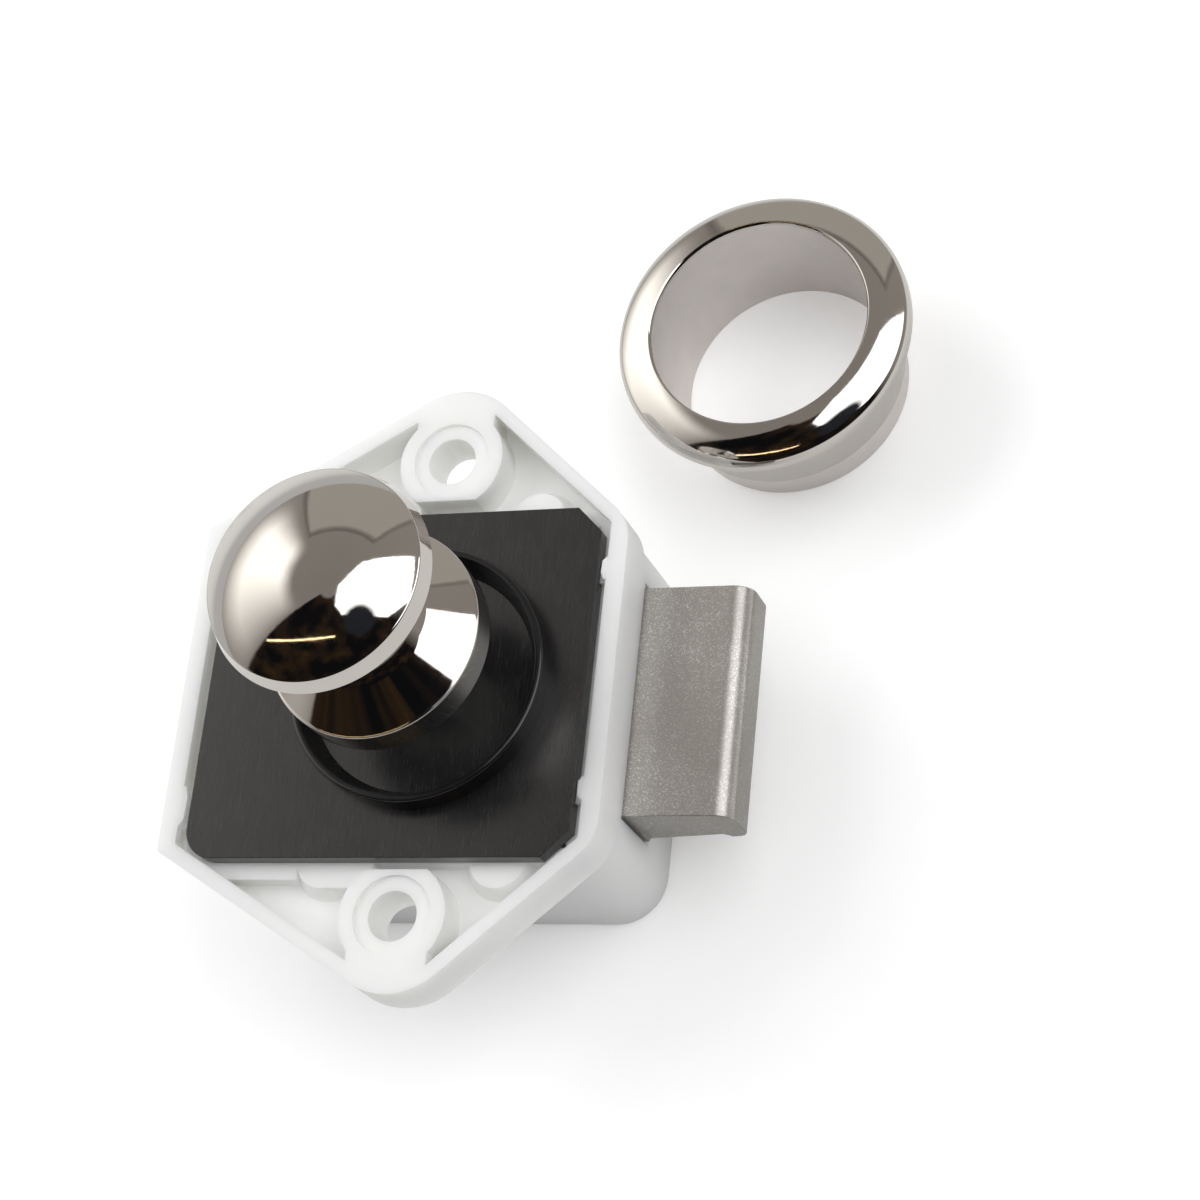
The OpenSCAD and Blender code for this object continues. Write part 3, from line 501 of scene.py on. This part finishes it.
def wound_spring(node, wire, start, along, length, coil_d, wire_d, curls):
    """A coil spring of round wire, wound by a screw spin."""
    steps = curls * 24
    wire_r = wire_d / 2 * MM
    bm = bmesh.new()
    bmesh.ops.create_circle(bm, cap_ends=False, radius=wire_r, segments=10,
                            matrix=Matrix.Rotation(math.pi / 2, 4, "X"))
    bmesh.ops.translate(bm, verts=bm.verts, vec=((coil_d - wire_d) / 2 * MM, 0, wire_r))
    first = bm.edges[:]
    made = bmesh.ops.spin(bm, geom=bm.verts[:] + bm.edges[:], cent=(0, 0, 0), axis=(0, 0, 1),
                          angle=math.tau * curls, steps=steps, dvec=(0, 0, (length - 2 * wire_r) / steps),
                          use_merge=False, use_duplicate=False)
    last = [part for part in made["geom_last"] if isinstance(part, bmesh.types.BMEdge)]
    bmesh.ops.contextual_create(bm, geom=first)
    bmesh.ops.contextual_create(bm, geom=last)
    bmesh.ops.recalc_face_normals(bm, faces=bm.faces)
    turn = Vector((0, 0, 1)).rotation_difference(Vector(along)).to_matrix().to_4x4()
    bmesh.ops.transform(bm, matrix=Matrix.Translation(start) @ turn, verts=bm.verts)
    piece = finished(bm, node + "_wound", [wire], None, [node], weigh=False)
    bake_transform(piece)


def springs(wire):
    """Knob spring on its post, and two bolt springs on their pins."""
    low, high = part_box("knob_spring")
    middle = (low + high) / 2
    wound_spring("knob_spring", wire, Vector((middle.x, middle.y, low.z)), (0, 0, 1), high.z - low.z,
                 coil_d=4.0, wire_d=0.55, curls=8)
    for name in ("bolt_spring_a", "bolt_spring_b"):
        low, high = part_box(name)
        middle = (low + high) / 2
        wound_spring(name, wire, Vector((low.x, middle.y, middle.z)), (1, 0, 0), high.x - low.x,
                     coil_d=3.4, wire_d=0.45, curls=15)


def dress_nodes(acetal, zinc, wire):
    """Finishes of the CAD nodes that stay as they are."""
    worn = {
        acetal: ("guide_plate",),
        zinc: ("guide_screws", "spring_pins", "knob_screw", "knob_washer"),
        wire: ("pin_spring", "cam_pin"),
    }
    for finish, nodes in worn.items():
        for node in nodes:
            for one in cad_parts[node].material_slots:
                one.material = finish


# Studio

def studio_floor():
    """White table, which burns out to the white of the backdrop away from the lock. Near the lock, where
    metal mirrors it, it is painted darker: painted shade.
    """
    bm = bmesh.new()
    bmesh.ops.create_grid(bm, x_segments=2, y_segments=2, size=FLOOR_HALF)
    bmesh.ops.translate(bm, verts=bm.verts, vec=(0, 0, TABLE_Z * MM))
    mesh = bpy.data.meshes.new("floor")
    bm.to_mesh(mesh)
    bm.free()
    floor = bpy.data.objects.new("floor", mesh)
    scene.collection.objects.link(floor)
    finish, tree, shader = new_finish("white_table")
    tree.nodes.remove(shader)
    camera = ray(tree, "Is Camera Ray")
    # painted shade: near the lock the table is darker in reflections than it is to the camera
    tone = blend_colour(tree, ray(tree, "Is Glossy Ray"), (0.90, 0.90, 0.90), (0.76, 0.75, 0.73))
    paper = put(tree, "ShaderNodeBsdfDiffuse", Color=tone)
    glow = put(tree, "ShaderNodeEmission", Color=(1, 1, 1), Strength=spread(tree, camera, 0, 1, 0.06, 0.20))
    near = put(tree, "ShaderNodeAddShader", i0=paper.outputs[0], i1=glow.outputs[0])
    away = put(tree, "ShaderNodeVectorMath", {"operation": "LENGTH"}, i0=place(tree)).outputs["Value"]
    seen = ray(tree, "Is Camera Ray", "Is Glossy Ray", "Is Transmission Ray")
    far = product(tree, spread(tree, away, 0.12, 0.30, soft=True), seen)
    white = put(tree, "ShaderNodeEmission", Color=(1, 1, 1), Strength=spread(tree, camera, 0, 1, 0.6, 1.0))
    sweep = put(tree, "ShaderNodeMixShader", Fac=far, i1=near.outputs[0], i2=white.outputs[0])
    tree.links.new(sweep.outputs[0], tree.nodes["Material Output"].inputs[0])
    mesh.materials.append(finish)


def patch(tree, way, corners, soft):
    """Share of a convex patch of sky, from its corners, with an edge that is soft by this much either way."""
    share = None
    count = len(corners)
    middle = Vector((sum(x for x, y in corners) / count, sum(y for x, y in corners) / count, 1))
    for k in range(count):
        first = Vector((*corners[k], 1))
        second = Vector((*corners[(k + 1) % count], 1))
        side = first.cross(second).normalized()
        if side.dot(middle) < 0:
            side.negate()
        reach = dot(tree, way, side)
        share = reach if share is None else maths(tree, "MINIMUM", share, reach)
    return spread(tree, share, -soft, soft, soft=True)


def walls(tree, azimuth, height):
    """Grey room, with a paler panel on the far side that a dark seam goes round."""
    wall = blend_colour(tree, spread(tree, height, 10, 80), (0.34, 0.31, 0.285), (0.29, 0.265, 0.240))
    panel = product(tree, spread(tree, azimuth, 59, 62), spread(tree, azimuth, 119, 117),
                    spread(tree, height, 44, 40))
    surround = product(tree, spread(tree, azimuth, 57, 60), spread(tree, azimuth, 121, 119),
                       spread(tree, height, 46, 44.5))
    seam = maths(tree, "SUBTRACT", surround, panel, clamp=True)
    wall = blend_colour(tree, panel, wall, (0.46, 0.43, 0.385))
    return blend_colour(tree, seam, wall, (0.20, 0.18, 0.165))


def left_glow(tree, azimuth, height):
    """Share of the softbox on the left and of its spill, whose upper edge rises as it fades."""
    round_azimuth = maths(tree, "WRAP", azimuth, 360.0, 0.0)
    brim = maths(tree, "MULTIPLY_ADD", round_azimuth, -0.15, height)
    return product(tree, spread(tree, round_azimuth, 121, 142, soft=True),
                   spread(tree, round_azimuth, 208, 160), spread(tree, brim, 38, 24, soft=True),
                   spread(tree, height, -3, 18))


def dark_side(tree, azimuth, height):
    """Share of the dark part of the room, behind the camera."""
    return product(tree, spread(tree, azimuth, -153, -151), spread(tree, azimuth, 2, -20),
                   spread(tree, height, 85, 83), spread(tree, height, 0, 5))


def mirrored_studio(tree, way, azimuth, height):
    """What the polished metal mirrors."""
    sky = walls(tree, azimuth, height)
    sky = blend_colour(tree, left_glow(tree, azimuth, height), sky, (1.9, 1.85, 1.76))
    noise = put(tree, "ShaderNodeTexNoise", Vector=way, Scale=5.0, Detail=4.0).outputs["Fac"]
    clutter = spread(tree, noise, 0.45, 0.75)
    night = blend_colour(tree, clutter, (0.006, 0.006, 0.007), (0.045, 0.026, 0.012))
    sky = blend_colour(tree, dark_side(tree, azimuth, height), sky, night)
    sky = blend_colour(tree, patch(tree, way, TUBE, soft=0.006), sky, (3.4, 2.5, 1.4))
    sky = blend_colour(tree, patch(tree, way, OCTAGON, soft=0.012), sky, (2.6, 2.6, 2.6))
    knob_neck = Vector((0, 0, 0.015))
    lens = dot(tree, way, (CAMERA_PLACE - knob_neck).normalized())
    return blend_colour(tree, spread(tree, lens, 0.973, 0.986), sky, (0.022, 0.024, 0.030))


def studio_world():
    """White to the camera, the studio to mirrors, and a soft fill as light, darker on the camera's side."""
    world = bpy.data.worlds.new("studio")
    scene.world = world
    world.use_nodes = True
    tree = world.node_tree
    way = tree.nodes.new("ShaderNodeTexCoord").outputs["Generated"]
    x, y, z = put(tree, "ShaderNodeSeparateXYZ", Vector=way).outputs
    azimuth = maths(tree, "MULTIPLY", maths(tree, "ARCTAN2", y, x), 180 / math.pi)
    height = maths(tree, "MULTIPLY", maths(tree, "ARCSINE", z), 180 / math.pi)
    side = spread(tree, maths(tree, "ABSOLUTE", maths(tree, "ADD", azimuth, 60.0)), 70, 120, soft=True)
    low = blend_colour(tree, side, (0.07, 0.07, 0.074), (0.255, 0.255, 0.26))
    fill = blend_colour(tree, spread(tree, height, 10, 65, soft=True), low, (0.61, 0.61, 0.61))
    mirrored = ray(tree, "Is Glossy Ray", "Is Transmission Ray")
    air = blend_colour(tree, mirrored, fill, mirrored_studio(tree, way, azimuth, height))
    back = tree.nodes["Background"]
    connect(tree, blend_colour(tree, ray(tree, "Is Camera Ray"), air, (1, 1, 1)), back.inputs["Color"])
    back.inputs["Strength"].default_value = 1.0
    world.cycles.sampling_method = "NONE"


def soft_lamp(name, azimuth, height, power):
    """A softbox at a bearing from the lock, facing it."""
    way = bearing(azimuth, height)
    lamp = bpy.data.lights.new(name, "AREA")
    lamp.shape = "RECTANGLE"
    lamp.size = LAMP_SIDE
    lamp.size_y = LAMP_SIDE
    lamp.energy = power
    holder = bpy.data.objects.new(name, lamp)
    holder.location = LAMP_TARGET + way * LAMP_AWAY
    holder.rotation_euler = (-way).to_track_quat("-Z", "Y").to_euler()
    holder.visible_glossy = False
    scene.collection.objects.link(holder)


# Build

nickel = bright_nickel()
acetal = natural_acetal()
zinc = zinc_steel()
wire = spring_wire()

photo_camera()
knob(nickel)
collar(gloss_black())
rosette(nickel, satin_nickel())
springs(wire)
eased("case", "case_moulding", white_nylon(), "housing", width=0.22)
eased("cover_plate", "plate_stamping", charcoal_plate(), "housing", width=0.08)
# the second finish is the same flake painted darker, as painted shade on the bolt's ends and front
latch_bolt(silver_bolt("silver_grey_flake", brightness=1.0),
           silver_bolt("silver_grey_flake_painted_shade", brightness=0.68))
eased("plunger", "plunger_moulding", acetal, "knob_unit", width=0.15)
dress_nodes(acetal, zinc, wire)

studio_floor()
studio_world()
soft_lamp("left_softbox", azimuth=158, height=38, power=2.8)
soft_lamp("overhead_octagon", azimuth=14, height=56, power=2.45)

scene.view_settings.view_transform = "Standard"
